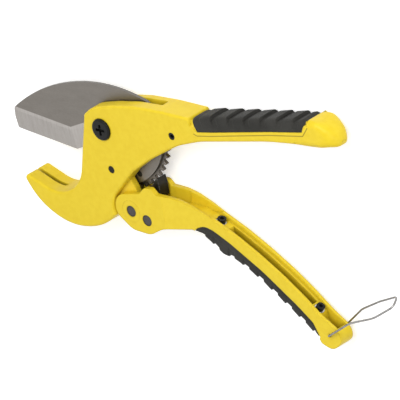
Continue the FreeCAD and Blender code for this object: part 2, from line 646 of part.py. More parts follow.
def shifted(points, drop):
    """Points moved towards the rim, square to the handle's slope."""
    slope = math.radians(-38.0)
    return [(x - drop * math.sin(slope), y + drop * math.cos(slope)) for x, y in points]


def lower_core():
    """The handle's underside below the grip, from its rear to its front."""
    line = shifted(GRIP_BACK[:-1], size("grip_thick"))
    return [line[0] + (1.0,)] + [(x, y, 20) for x, y in line[1:]]


def below_rim(depth, first, last):
    """The rim's corners from first to last, moved down into the handle."""
    line = shifted([corner[:2] for corner in RIM[first:last]], -depth)
    return [(x, y, 90) for x, y in line]


def make_lower_handle():
    body = new_body("lower_handle")
    nose = size("recess_radius") - 0.9
    profile = [(21.5, -39.2, 2), (25.8, -35.0, 3), (31.4, -34.4, 3), (34.8, -38.2, 2)] + RIM
    profile = profile[::-1]
    profile += round_corners(HANDLE_PIN, nose, 112, 200, 2)
    profile += [(2.2, -56.6, 3), (11.5, -64.2, 12), (26.0, -65.6, 12), (36.5, -60.0, 20), GRIP_FRONT + (3,)]
    profile += lower_core()[::-1] + [GRIP_BACK[0] + (0.8,)]
    profile += [(150.0, -117.2, 3), (158.2, -121.0, 7), (167.4, -113.6, 6)]
    pad(body, "block", [outline(profile)], CHEEK_LOW, CHEEK_HIGH)

    # The handle narrows from the cheeks to the grip: its two sides are trimmed in plan.
    start, end = size("taper_start"), size("taper_end")
    thick = size("body_thick")
    half = size("tail_thick") / 2
    for side, sign in (("far", -1), ("near", 1)):
        cheek = thick / 2 + sign * (size("lug_thick") / 2 + size("cheek_gap") + size("cheek_thick"))
        tail = thick / 2 + sign * half
        plan = [(start, cheek, 30), (end, tail, 60), (150.0, tail, 40), (172.0, tail - sign * 1.2),
                (172.0, cheek + sign * 2), (start, cheek + sign * 2)]
        cut = body.newObject("PartDesign::Pocket", "taper_" + side)
        cut.Profile = add_sketch(body, "taper_" + side + "_sketch", [outline(plan)], plane="XZ_Plane")
        cut.SideType = "Symmetric"
        cut.Length = 400
        doc.recompute()

    # Inside: the fork for lug and pawl, the open channel with its ledge, and the deep slot.
    fork = [(-10.0, -90.0), (31.0, -90.0), (36.0, -56.0, 3), (50.0, -48.5, 10), (50.0, -20.0), (-10.0, -20.0)]
    pocket(body, "fork", [outline(fork)], *FORK)
    inner = "sizes.tail_thick / 2 - sizes.wall"
    line = below_rim(size("ledge_depth"), 2, 9)
    ledge = [(50.0, -20.0), (50.0, line[0][1])] + line + [(150.0, line[-1][1] - 3.0, 1), (150.0, -60.0)]
    pocket(body, "channel", [outline(ledge)], MID + " - (" + inner + ")", MID + " + " + inner)
    mouth = [(46.0, -20.0), (44.0, -46.0), (64.0, -47.5, 20), (76.0, -52.6, 10), (80.0, -40.0)]
    pocket(body, "mouth", [outline(mouth)], MID + " - (" + inner + ") - 1.4", MID + " + " + inner + " + 1.4")
    deep = [(84.0, -50.0), (84.0, -60.0, 3)] + below_rim(size("slot_depth"), 4, 8) + [(143.0, -99.0, 2), (143.0, -80.0)]
    pocket(body, "floor_slot", [outline(deep)], MID + " - sizes.ledge_slot / 2", MID + " + sizes.ledge_slot / 2")
    scoop = [(149.0, -80.0), (149.0, -106.0, 2), (153.6, -112.8, 3), (159.0, -114.2, 3), (162.2, -109.5, 3),
             (163.6, -100.0)]
    pocket(body, "end_scoop", [outline(scoop)], MID + " - (" + inner + ")", MID + " + " + inner)

    seat = [(x, y, r) for x, y, r in LOWER_LIP]
    seat = [(50.0, -80.0), (59.0, -58.4)] + seat + [(149.4, -113.4), (140.0, -130.0)]
    side = "sizes.tail_thick / 2 - sizes.grip_side"
    pocket(body, "grip_seat_near", [outline(seat)], MID + " + " + side, BODY_TOP)
    pocket(body, "grip_seat_far", [outline(seat)], "0", MID + " - (" + side + ")")
    for i, (point, axis, length) in enumerate(LOWER_SCREWS, start=1):
        bore(body, f"spot_face_{i}", point - axis * 6, axis, size("washer_radius") + 0.2, 6.0)
        bore(body, f"screw_hole_{i}", point, axis, size("screw_radius") + 0.03, length + 3)
    low_pin = size("pin_radius") + 0.02
    pocket(body, "pin_holes", [disc(*HANDLE_PIN, low_pin), disc(*PAWL_PIN, low_pin)], "0", BODY_TOP)
    pocket(body, "washer_seat_near", [disc(*HANDLE_PIN, 6.3)], CHEEK_HIGH + " - 0.6", CHEEK_HIGH)
    pocket(body, "washer_seat_far", [disc(*HANDLE_PIN, 6.3)], CHEEK_LOW, CHEEK_LOW + " + 0.6")
    pocket(body, "bail_hole", [disc(size("bail_x"), size("bail_y"), size("bail_wire") / 2 + 0.25)],
           "0", BODY_TOP)
    return body


# ---------------------------------------------------------------- grips and their screws
def make_upper_grip():
    body = new_body("upper_grip")
    pad(body, "saddle", [outline(upper_grip_corners())], S + "pin_sink", BODY_TOP + " - sizes.pin_sink")
    round_back(body, "crown", (65.0, 18.3), BACK_SLOPE, 130.0, 1)
    core = [(60.0, 0.0), (185.0, 0.0), (185.0, 29.0)] + upper_core() + [(60.0, 12.0)]
    pocket(body, "core", [outline(core)], S + "grip_sink", BODY_TOP + " - sizes.grip_sink")
    for i, (point, axis, length) in enumerate(UPPER_SCREWS, start=1):
        bore(body, f"screw_hole_{i}", point, axis, size("screw_radius") + 0.03, length + 0.2)
    return body


def make_lower_grip():
    body = new_body("lower_grip")
    ribs = []
    for (x0, y0), (x1, y1) in zip(GRIP_BACK[:-2], GRIP_BACK[1:-1]):
        steps = 2 if math.hypot(x1 - x0, y1 - y0) > 20 else 1
        for i in range(steps):
            x, y = x0 + (x1 - x0) * i / steps, y0 + (y1 - y0) * i / steps
            ribs += [(x, y, 0.6), (x - 1.0, y + 1.4, 0.6)]
    ribs[0] = (ribs[0][0] - 0.4, ribs[0][1] + 0.4, 0.6)
    ribs += [GRIP_BACK[-2] + (2.0,), (60.9, -58.2, 0.4)]
    rear = [(x - 0.4, y + 0.2, r) for x, y, r in LOWER_LIP[-1:]]
    pad(body, "saddle", [outline(ribs + LOWER_LIP[1:-1] + rear)], MID + " - sizes.tail_thick / 2",
        MID + " + sizes.tail_thick / 2")
    core = lower_core() + [GRIP_FRONT, (50.0, -45.0), (100.0, -30.0), (175.0, -90.0), (165.0, -112.0)]
    pocket(body, "core", [outline(core)], MID + " - sizes.tail_thick / 2 + sizes.grip_side",
           MID + " + sizes.tail_thick / 2 - sizes.grip_side")
    for i, (point, axis, length) in enumerate(LOWER_SCREWS, start=1):
        bore(body, f"screw_hole_{i}", point, axis, size("screw_radius") + 0.03, length + 0.2)
    return body


def make_grip_screws(name, screws):
    """Socket-head screws with a washer under each head."""
    radius, head, thick = size("screw_radius"), size("screw_head"), size("washer_thick")
    made, washers = [], []
    for point, axis, length in screws:
        seat = point - axis * thick
        screw = Part.makeCylinder(head, 2.4, seat, axis * -1)
        screw = screw.fuse(Part.makeCylinder(radius, length + thick, seat, axis))
        socket = Part.makeCylinder(1.3, 1.4, seat - axis * 1.0, axis * -1)
        made.append(screw.cut(socket))
        washer = Part.makeCylinder(size("washer_radius"), thick, point, axis * -1)
        washers.append(washer.cut(Part.makeCylinder(radius + 0.1, thick * 3, point + axis, axis * -1)))
    group(name + "_screws", made)
    group(name + "_washers", washers)


# ---------------------------------------------------------------- pins and washers of the handle
def make_handle_pins():
    sink = size("pin_sink")
    low = size("body_thick") / 2 - size("lug_thick") / 2 - size("cheek_gap") - size("cheek_thick") + sink
    high = size("body_thick") - low
    group("handle_pin", [post(*HANDLE_PIN, size("pin_radius"), low, high)])
    group("pawl_pin", [post(*PAWL_PIN, size("pin_radius"), low, high)])
    inner = size("pin_radius") + 0.02
    x, y = HANDLE_PIN
    group("handle_pin_washers", [ring(x, y, inner, 6.2, low - sink, low - sink + 0.6),
                                 ring(x, y, inner, 6.2, high + sink - 0.6, high + sink)])


# ---------------------------------------------------------------- wire bail
def bent_wire(points, radii, thick):
    """Round wire along straight runs joined by tangent arcs."""
    edges, last = [], points[0]
    for corner, before, after, radius in zip(points[1:-1], points[:-2], points[2:], radii):
        back, ahead = (before - corner).normalize(), (after - corner).normalize()
        half = math.acos(back.dot(ahead)) / 2
        reach = radius / math.tan(half)
        middle = (back + ahead).normalize()
        start, end = corner + back * reach, corner + ahead * reach
        crown = corner + middle * (radius / math.sin(half) - radius)
        edges += [Part.LineSegment(last, start).toShape(), Part.Arc(start, crown, end).toShape()]
        last = end
    edges.append(Part.LineSegment(last, points[-1]).toShape())
    path = Part.Wire(edges)
    section = Part.Wire(Part.makeCircle(thick / 2, points[0], points[1] - points[0]))
    return path.makePipeShell([section], True, True)


def make_wire_bail():
    """One bent wire: both ends through the handle's walls, two legs and a round end."""
    wire = size("bail_wire")
    turn = math.radians(size("bail_angle"))
    along = Vector(math.cos(turn), math.sin(turn), 0)
    across = Z_AXIS.cross(along)
    foot = Vector(size("bail_x"), size("bail_y"), size("body_thick") / 2)
    half = size("tail_thick") / 2 + wire / 2 + 0.4
    inside = size("tail_thick") / 2 - size("wall") - 0.6
    # Corners of the wire: distance along the bail, sideways and across the handle, and bend radius.
    corners = [(0.0, 0.0, inside, 0), (0.0, 0.0, half, 1.1), (23.5, 1.5, half + 0.9, 20),
               (43.0, -2.2, half - 0.6, 30), (60.0, -1.4, 3.6, 3.6), (59.4, 2.6, -3.6, 3.6),
               (41.0, 4.4, -half + 1.4, 30), (22.5, 4.9, -half + 0.2, 20), (0.0, 0.0, -half, 1.1),
               (0.0, 0.0, -inside, 0)]
    points = [foot + along * a + across * c + Z_AXIS * z for a, c, z, _ in corners]
    group("wire_bail", [bent_wire(points, [radius for *_, radius in corners[1:-1]], wire)])


make_body_casting()
make_blade()
make_ratchet_plate()
make_blade_rivets()
make_pivot_bolt()
make_bush()
make_pins()
make_holding_pawl()
make_drive_pawl()
make_springs()
make_lower_handle()
make_upper_grip()
make_lower_grip()
make_handle_pins()
make_grip_screws("upper_grip", UPPER_SCREWS)
make_grip_screws("lower_grip", LOWER_SCREWS)
make_wire_bail()
doc.recompute()

# ---------------------------------------------------------------- check, then export
made = [item for item in doc.Objects if item.TypeId in ("PartDesign::Body", "Part::Feature")]
for item in doc.Objects:
    if any(word in ("Invalid", "Error") for word in item.State):
        raise RuntimeError(f"{item.Name} did not build")
for item in made:
    if item.Shape.isNull() or not item.Shape.isValid() or not item.Shape.Solids:
        raise RuntimeError(f"{item.Label} has no valid solid")
    if item.TypeId == "PartDesign::Body" and len(item.Shape.Solids) != 1:
        raise RuntimeError(f"{item.Label} is in {len(item.Shape.Solids)} pieces")
os.makedirs("parts", exist_ok=True)
for item in made:
    item.Shape.exportStep(f"parts/{item.Label}.step")
print("exported", len(made), "nodes")
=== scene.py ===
# %% [markdown]
# # Ratchet pipe cutter
#
# This lesson dresses the solids of a ratchet cutter for plastic pipe. The solids come
# in ready made and in place, in metres, with the casting's side face on z = 0. What is
# left to do here is what makes the tool look real: enamel, ground steel, moulded rubber,
# and a studio to stand it in.

# %% Load the solids
import math

import bmesh
import bpy
import numpy as np
from mathutils import Matrix, Vector


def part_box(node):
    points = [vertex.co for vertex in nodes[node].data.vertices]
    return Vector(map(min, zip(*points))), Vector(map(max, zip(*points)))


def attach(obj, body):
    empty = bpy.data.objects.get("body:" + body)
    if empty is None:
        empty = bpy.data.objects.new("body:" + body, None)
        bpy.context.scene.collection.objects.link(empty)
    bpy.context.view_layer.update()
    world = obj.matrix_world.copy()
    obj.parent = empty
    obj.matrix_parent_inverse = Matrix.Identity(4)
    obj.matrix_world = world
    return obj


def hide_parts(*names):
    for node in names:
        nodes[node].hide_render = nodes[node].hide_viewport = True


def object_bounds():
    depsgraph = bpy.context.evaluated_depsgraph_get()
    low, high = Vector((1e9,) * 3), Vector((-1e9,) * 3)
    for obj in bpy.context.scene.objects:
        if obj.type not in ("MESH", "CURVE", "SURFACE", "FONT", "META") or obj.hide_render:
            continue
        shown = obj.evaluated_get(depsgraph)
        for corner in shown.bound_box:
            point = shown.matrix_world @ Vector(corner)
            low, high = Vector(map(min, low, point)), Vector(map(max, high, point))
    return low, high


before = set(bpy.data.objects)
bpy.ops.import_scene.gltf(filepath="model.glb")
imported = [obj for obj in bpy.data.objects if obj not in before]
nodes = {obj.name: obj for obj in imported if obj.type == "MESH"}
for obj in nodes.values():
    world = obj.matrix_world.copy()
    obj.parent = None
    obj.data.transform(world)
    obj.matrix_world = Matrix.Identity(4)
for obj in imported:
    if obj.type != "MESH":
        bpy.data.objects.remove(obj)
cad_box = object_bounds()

# %% [markdown]
# ## Camera
#
# The tool lies on its side and is looked at from above its handles' open end. A very
# long lens from far away keeps the handles from growing towards the viewer. The camera's
# three axes are given as the columns of a rotation matrix: right, up and backwards.

# %% Camera
VIEW_RIGHT = Vector((0.745, -0.151, -0.651)).normalized()
VIEW_BACK = VIEW_RIGHT.cross(Vector((-0.151, 0.912, -0.384))).normalized()
VIEW_UP = VIEW_BACK.cross(VIEW_RIGHT)
VIEW_CENTRE = Vector((0.0503, -0.0475, -0.0021))
VIEW_WIDTH = 0.24
LENS = 1500.0


def add_camera():
    """A camera whose distance makes VIEW_WIDTH fill the frame: distance = lens * width / sensor."""
    data = bpy.data.cameras.new("studio_camera")
    data.lens, data.sensor_width = LENS, 36.0
    distance = LENS * VIEW_WIDTH / data.sensor_width
    camera = bpy.data.objects.new("studio_camera", data)
    place = Matrix((VIEW_RIGHT, VIEW_UP, VIEW_BACK)).transposed().to_4x4()
    place.translation = VIEW_CENTRE + VIEW_BACK * distance
    camera.matrix_world = place
    bpy.context.scene.collection.objects.link(camera)
    bpy.context.scene.camera = camera
    return distance


print("camera distance:", round(add_camera(), 3), "m")

# %% [markdown]
# ## Studio
#
# Three broad lamps stand in for soft boxes. The key comes from above the upper
# handle, so that top edges are the lightest, and the near faces are lit a little
# less. The floor is nearly white paper: it takes shadows as paper does, and shows
# a little lighter to the camera and in reflections, so it reads as white.

# %% Lamps, world and floor
def soft_box(name, direction, distance, width, power):
    """A square area lamp that looks at the tool's middle from the given direction."""
    data = bpy.data.lights.new(name, "AREA")
    data.size, data.energy = width, power
    lamp = bpy.data.objects.new(name, data)
    back = Vector(direction).normalized()
    lamp.rotation_euler = back.to_track_quat("Z", "Y").to_euler()
    lamp.location = VIEW_CENTRE + back * distance
    bpy.context.scene.collection.objects.link(lamp)


soft_box("key_lamp", (0.25, 0.75, 0.75), 1.2, 0.7, 8.5)
soft_box("side_lamp", (0.9, 0.1, 0.6), 1.3, 0.8, 4.0)
soft_box("front_lamp", (-0.5, -0.3, 1.0), 1.4, 1.0, 3.0)


def seen_directly(tree):
    """1 for rays from the camera, off a mirror or through glass, and 0 for light that lights."""
    path = tree.nodes.new("ShaderNodeLightPath")
    total = None
    for ray in ("Is Camera Ray", "Is Glossy Ray", "Is Transmission Ray"):
        if total is None:
            total = path.outputs[ray]
            continue
        add = tree.nodes.new("ShaderNodeMath")
        add.operation, add.use_clamp = "ADD", True
        tree.links.new(total, add.inputs[0])
        tree.links.new(path.outputs[ray], add.inputs[1])
        total = add.outputs[0]
    return total


def build_world(fill, shown):
    """Plain white world: strength fill as light, and shown where it is seen."""
    world = bpy.data.worlds.new("studio_world")
    world.use_nodes = True
    tree = world.node_tree
    background = tree.nodes["Background"]
    background.inputs["Color"].default_value = (1, 1, 1, 1)
    level = tree.nodes.new("ShaderNodeMapRange")
    level.inputs["To Min"].default_value, level.inputs["To Max"].default_value = fill, shown
    tree.links.new(seen_directly(tree), level.inputs["Value"])
    tree.links.new(level.outputs["Result"], background.inputs["Strength"])
    bpy.context.scene.world = world


def build_floor(half, lift):
    """A square sheet of paper under the tool, lighter by lift where it is seen."""
    mesh = bpy.data.meshes.new("floor")
    corners = np.array([[-half, -half, 0], [half, -half, 0], [half, half, 0], [-half, half, 0]])
    corners[:, 2] = cad_box[0][2] - 0.0002
    mesh.from_pydata(corners.tolist(), [], [(0, 1, 2, 3)])
    floor = bpy.data.objects.new("floor", mesh)
    bpy.context.scene.collection.objects.link(floor)
    paper = bpy.data.materials.new("floor_paper")
    paper.use_nodes = True
    tree = paper.node_tree
    surface = tree.nodes["Principled BSDF"]
    surface.inputs["Base Color"].default_value = (0.86, 0.86, 0.86, 1)
    surface.inputs["Roughness"].default_value = 0.9
    surface.inputs["Specular IOR Level"].default_value = 0.1
    surface.inputs["Emission Color"].default_value = (1, 1, 1, 1)
    glow = tree.nodes.new("ShaderNodeMath")
    glow.operation = "MULTIPLY"
    glow.inputs[1].default_value = lift
    tree.links.new(seen_directly(tree), glow.inputs[0])
    tree.links.new(glow.outputs[0], surface.inputs["Emission Strength"])
    mesh.materials.append(paper)


build_world(0.45, 1.0)
build_floor(3.0, 0.45)
bpy.context.scene.view_settings.view_transform = "Standard"

# %% [markdown]
# ## Shared effects
#
# Several finishes need the same few effects, so each is a node group made once:
# fine grain from noise, wear along the edges, which on the drive pawl is also a painted
# highlight, and the rings that a lathe or a rivet press leaves on the end of a pin. A group
# hands out masks and heights only; the shader stays in each material.

# %% Helpers for node trees
def new_group(name, inputs, outputs):
    """An empty shader node group with named sockets: inputs are (name, type, value)."""
    group = bpy.data.node_groups.new(name, "ShaderNodeTree")
    for label, kind, value in inputs:
        socket = group.interface.new_socket(label, in_out="INPUT", socket_type=kind)
        socket.default_value = value
    for label, kind in outputs:
        group.interface.new_socket(label, in_out="OUTPUT", socket_type=kind)
    return group, group.nodes.new("NodeGroupInput"), group.nodes.new("NodeGroupOutput")


def math_node(tree, operation, a, b=None, clamp=False):
    """One Math node. a and b are sockets or numbers."""
    node = tree.nodes.new("ShaderNodeMath")
    node.operation, node.use_clamp = operation, clamp
    for socket, value in zip(node.inputs, (a, b)):
        if value is None:
            continue
        if isinstance(value, (int, float)):
            socket.default_value = value
        else:
            tree.links.new(value, socket)
    return node.outputs[0]


def vector_node(tree, operation, a, b=None):
    """One Vector Math node. a and b are sockets or tuples."""
    node = tree.nodes.new("ShaderNodeVectorMath")
    node.operation = operation
    for socket, value in zip(node.inputs, (a, b)):
        if value is None:
            continue
        if isinstance(value, tuple):
            socket.default_value = value
        else:
            tree.links.new(value, socket)
    return node.outputs["Value" if operation in ("DOT_PRODUCT", "LENGTH") else "Vector"]


def map_range(tree, value, low, high, out_low=0.0, out_high=1.0, smooth=False):
    """Maps value from low..high onto out_low..out_high and clamps it."""
    node = tree.nodes.new("ShaderNodeMapRange")
    node.interpolation_type = "SMOOTHSTEP" if smooth else "LINEAR"
    tree.links.new(value, node.inputs["Value"])
    for name, number in (("From Min", low), ("From Max", high), ("To Min", out_low), ("To Max", out_high)):
        if isinstance(number, (int, float)):
            node.inputs[name].default_value = number
        else:
            tree.links.new(number, node.inputs[name])
    return node.outputs["Result"]


def object_point(tree):
    """Where a shading point lies on its piece, in metres."""
    return tree.nodes.new("ShaderNodeTexCoord").outputs["Object"]


# %% Grain: soft noise at two scales
def make_grain():
    """Mask and Height from two noises: Size is the coarse one's wavelength in metres."""
    group, inlet, outlet = new_group(
        "surface_grain",
        [("Size", "NodeSocketFloat", 0.004), ("Stretch", "NodeSocketVector", (1.0, 1.0, 1.0))],
        [("Mask", "NodeSocketFloat"), ("Height", "NodeSocketFloat")])
    point = vector_node(group, "MULTIPLY", object_point(group), inlet.outputs["Stretch"])
    scale = math_node(group, "DIVIDE", 1.0, inlet.outputs["Size"])
    coarse = group.nodes.new("ShaderNodeTexNoise")
    coarse.inputs["Detail"].default_value = 3.0
    group.links.new(point, coarse.inputs["Vector"])
    group.links.new(scale, coarse.inputs["Scale"])
    fine = group.nodes.new("ShaderNodeTexNoise")
    fine.inputs["Detail"].default_value = 2.0
    group.links.new(point, fine.inputs["Vector"])
    group.links.new(math_node(group, "MULTIPLY", scale, 7.0), fine.inputs["Scale"])
    group.links.new(coarse.outputs["Fac"], outlet.inputs["Mask"])
    both = math_node(group, "ADD", math_node(group, "MULTIPLY", coarse.outputs["Fac"], 0.5),
                     math_node(group, "MULTIPLY", fine.outputs["Fac"], 0.5))
    group.links.new(both, outlet.inputs["Height"])
    return group


grain_group = make_grain()
print("group:", grain_group.name)


# %% Edge wear and painted highlight: where a rounded normal differs from the flat one
def make_edge_wear_and_highlight():
    """Mask is 1 where the surface turns within Width, broken up by noise. Rounded is that soft normal."""
    group, inlet, outlet = new_group(
        "edge_wear_and_highlight",
        [("Width", "NodeSocketFloat", 0.0005)],
        [("Mask", "NodeSocketFloat"), ("Rounded", "NodeSocketVector")])
    soft = group.nodes.new("ShaderNodeBevel")
    soft.samples = 6
    group.links.new(inlet.outputs["Width"], soft.inputs["Radius"])
    flat = group.nodes.new("ShaderNodeNewGeometry").outputs["Normal"]
    turn = math_node(group, "SUBTRACT", 1.0, vector_node(group, "DOT_PRODUCT", soft.outputs["Normal"], flat))
    noise = group.nodes.new("ShaderNodeTexNoise")
    noise.inputs["Scale"].default_value = 450.0
    noise.inputs["Detail"].default_value = 3.0
    group.links.new(object_point(group), noise.inputs["Vector"])
    patchy = map_range(group, noise.outputs["Fac"], 0.42, 0.62)
    edge = map_range(group, turn, 0.03, 0.25)
    group.links.new(math_node(group, "MULTIPLY", edge, patchy), outlet.inputs["Mask"])
    group.links.new(soft.outputs["Normal"], outlet.inputs["Rounded"])
    return group


wear_and_highlight_group = make_edge_wear_and_highlight()
print("group:", wear_and_highlight_group.name)


# %% Pin end: rings round an upright axis
def make_pin_end():
    """Distance from an upright axis through Centre, as rim mask and turned rings."""
    group, inlet, outlet = new_group(
        "pin_end",
        [("Centre", "NodeSocketVector", (0.0, 0.0, 0.0)), ("Radius", "NodeSocketFloat", 0.003)],
        [("Rim", "NodeSocketFloat"), ("Rings", "NodeSocketFloat")])
    offset = vector_node(group, "SUBTRACT", object_point(group), inlet.outputs["Centre"])
    level = vector_node(group, "LENGTH", vector_node(group, "MULTIPLY", offset, (1.0, 1.0, 0.0)))
    share = math_node(group, "DIVIDE", level, inlet.outputs["Radius"])
    group.links.new(map_range(group, share, 0.72, 0.9, smooth=True), outlet.inputs["Rim"])
    wave = math_node(group, "SINE", math_node(group, "MULTIPLY", share, 40.0))
    group.links.new(map_range(group, wave, -1.0, 1.0), outlet.inputs["Rings"])
    return group


pin_end_group = make_pin_end()
print("group:", pin_end_group.name)

# %% [markdown]
# ## Finishes
#
# Each finish starts as a Principled shader. Its plain numbers, such as coat and
# specular level, are set straight on the shader; colour, roughness and normal come
# from the groups above.

# %% Material helper
def new_material(name, **plain):
    """A material with its shader's constant inputs set by name, underscores for spaces."""
    material = bpy.data.materials.new(name)
    material.use_nodes = True
    shader = material.node_tree.nodes["Principled BSDF"]
    for label, value in plain.items():
        shader.inputs[label.replace("_", " ")].default_value = value
    return material, material.node_tree, shader


def place_group(tree, group, **values):
    """Puts a node group in a tree and sets its inputs by name."""
    node = tree.nodes.new("ShaderNodeGroup")
    node.node_tree = group
    for label, value in values.items():
        node.inputs[label].default_value = value
    return node


def mix_colour(tree, share, first, second):
    """Mixes two colours by share. Each of the three is a socket or a plain value."""
    node = tree.nodes.new("ShaderNodeMix")
    node.data_type = "RGBA"
    for index, value in ((0, share), (6, first), (7, second)):
        if isinstance(value, (tuple, float, int)):
            node.inputs[index].default_value = value
        else:
            tree.links.new(value, node.inputs[index])
    return node.outputs[2]


def bump(tree, height, strength, distance, normal=None):
    """A Bump node on a height socket."""
    node = tree.nodes.new("ShaderNodeBump")
    node.inputs["Strength"].default_value = strength
    node.inputs["Distance"].default_value = distance
    tree.links.new(height, node.inputs["Height"])
    if normal is not None:
        tree.links.new(normal, node.inputs["Normal"])
    return node.outputs["Normal"]


# %% [markdown]
# ## Yellow enamel
#
# The casting and the lower handle are sprayed with yellow enamel. It is a coloured
# shader with a faint orange peel, a little browner along the edges. Slots and inner
# corners are painted browner still, as painted shade. That could be painted on by hand,
# but a mask of hollows finds these places by itself, whatever the shape. The casting also
# shows a thin seam beside the upper grip, a shallow groove with painted shade along it,
# which is found from its distance to a line.

# %% Hollows: where the surface hides from the light
def painted_shade_mask(tree, reach, open_share, closed_share, most):
    """0 where more than open_share of the rays of length reach get away, most below closed_share."""
    hollow = tree.nodes.new("ShaderNodeAmbientOcclusion")
    hollow.samples, hollow.only_local = 12, True
    hollow.inputs["Distance"].default_value = reach
    return map_range(tree, hollow.outputs["AO"], open_share, closed_share, 0.0, most)


# %% Seam: how far a point is from a straight stretch
def make_segment():
    """Distance in metres from the stretch Start to End, measured in the XY plane.

    With w = p - start and d = end - start, the nearest point is at t = w.d / d.d,
    clamped to 0..1, and the distance is the length of w - t d.
    """
    group, inlet, outlet = new_group(
        "segment_distance",
        [("Start", "NodeSocketVector", (0.0, 0.0, 0.0)), ("End", "NodeSocketVector", (1.0, 0.0, 0.0))],
        [("Distance", "NodeSocketFloat")])
    flat = vector_node(group, "MULTIPLY", object_point(group), (1.0, 1.0, 0.0))
    offset = vector_node(group, "SUBTRACT", flat, inlet.outputs["Start"])
    along = vector_node(group, "SUBTRACT", inlet.outputs["End"], inlet.outputs["Start"])
    share = math_node(group, "DIVIDE", vector_node(group, "DOT_PRODUCT", offset, along),
                      vector_node(group, "DOT_PRODUCT", along, along), clamp=True)
    nearest = vector_node(group, "MULTIPLY", along, share)
    group.links.new(vector_node(group, "LENGTH", vector_node(group, "SUBTRACT", offset, nearest)),
                    outlet.inputs["Distance"])
    return group


segment_group = make_segment()
print("group:", segment_group.name)

# The seam runs under the upper grip's lip, and up behind its rear end: x and y in metres.
GRIP_SEAM = [(0.0760, 0.0092), (0.0785, 0.0083), (0.0900, 0.0100), (0.1380, 0.0184), (0.1655, 0.0222),
             (0.1700, 0.0280)]


def seam_groove_and_shade(tree, points, width):
    """1 within width of the line through the points, fading to 0 at twice the width."""
    nearest = None
    for start, end in zip(points, points[1:]):
        stretch = place_group(tree, segment_group, Start=(*start, 0), End=(*end, 0)).outputs["Distance"]
        nearest = stretch if nearest is None else math_node(tree, "MINIMUM", nearest, stretch)
    return map_range(tree, nearest, width * 2, width, smooth=True)


# %% Yellow enamel
def make_enamel(name, seam=()):
    """Sprayed enamel over a casting: a faint orange peel, thin along the edges, painted shade in the slots.
    """
    material, tree, shader = new_material(name, IOR=1.5, Specular_IOR_Level=0.22)
    grain = place_group(tree, grain_group, Size=0.0035)
    wear_and_highlight_edges = place_group(tree, wear_and_highlight_group, Width=0.0011)
    deep, light = (0.77, 0.565, 0.018, 1), (0.80, 0.60, 0.026, 1)
    colour = mix_colour(tree, map_range(tree, grain.outputs["Mask"], 0.35, 0.65), deep, light)
    colour = mix_colour(tree, math_node(tree, "MULTIPLY", wear_and_highlight_edges.outputs["Mask"], 0.35), colour,
                        (0.72, 0.50, 0.015, 1))
    # Painted shade: slots and inner corners darken to olive brown where the mask of hollows finds them.
    colour = mix_colour(tree, painted_shade_mask(tree, 0.009, 0.6, 0.2, 0.9), colour, (0.20, 0.145, 0.003, 1))
    height = grain.outputs["Height"]
    if seam:
        # Painted shade: the seam's line is darkened as the shade in a groove, and the height sinks it as a
        # real shallow groove.
        line = seam_groove_and_shade(tree, seam, 0.00022)
        colour = mix_colour(tree, math_node(tree, "MULTIPLY", line, 0.75), colour, (0.20, 0.13, 0.004, 1))
        height = math_node(tree, "SUBTRACT", height, line)
    tree.links.new(colour, shader.inputs["Base Color"])
    tree.links.new(map_range(tree, grain.outputs["Height"], 0.3, 0.7, 0.33, 0.45), shader.inputs["Roughness"])
    tree.links.new(bump(tree, height, 0.12, 0.0002, wear_and_highlight_edges.outputs["Rounded"]), shader.inputs["Normal"])
    return material


enamel = make_enamel("yellow_enamel")
seamed_enamel = make_enamel("seamed_enamel", GRIP_SEAM)
print("enamels:", enamel.name, seamed_enamel.name)


# %% [markdown]
# ## Plain metals
#
# Screws, bolt and cross pins are blackened, the toothed plate and the holding pawl are
# stamped steel, the drive pawl is dark with bright edges, partly worn steel and partly a
# painted highlight, springs and bail are grey wire, and the small washers are plated.
# Separate node trees would say the same thing five times, so one function holds the
# recipe and takes each metal's own numbers.

# %% Plain metals: a shared recipe with its own numbers
def make_metal(name, dark, light, rough, size=0.003, stretch=(1.0, 1.0, 1.0), wear_and_highlight=None, relief=0.06,
               **plain):
    """Bare or blackened metal: grain moves its colour and roughness, and edges show worn metal, with a
    painted highlight on the drive pawl.
    """
    material, tree, shader = new_material(name, **plain)
    grain = place_group(tree, grain_group, Size=size, Stretch=stretch)
    wear_and_highlight_edges = place_group(tree, wear_and_highlight_group, Width=0.0003)
    colour = mix_colour(tree, map_range(tree, grain.outputs["Height"], 0.32, 0.68), dark, light)
    # Edges take the given edge colour: real wear, and on the drive pawl a painted highlight as well.
    if wear_and_highlight is not None:
        colour = mix_colour(tree, wear_and_highlight_edges.outputs["Mask"], colour, wear_and_highlight)
    tree.links.new(colour, shader.inputs["Base Color"])
    tree.links.new(map_range(tree, grain.outputs["Height"], 0.3, 0.7, *rough), shader.inputs["Roughness"])
    tree.links.new(bump(tree, grain.outputs["Height"], relief, 0.0002, wear_and_highlight_edges.outputs["Rounded"]),
                   shader.inputs["Normal"])
    return material


black_oxide = make_metal("black_oxide", (0.004, 0.004, 0.004, 1), (0.012, 0.012, 0.011, 1), (0.3, 0.5),
                         wear_and_highlight=(0.05, 0.05, 0.05, 1), Specular_IOR_Level=0.15)
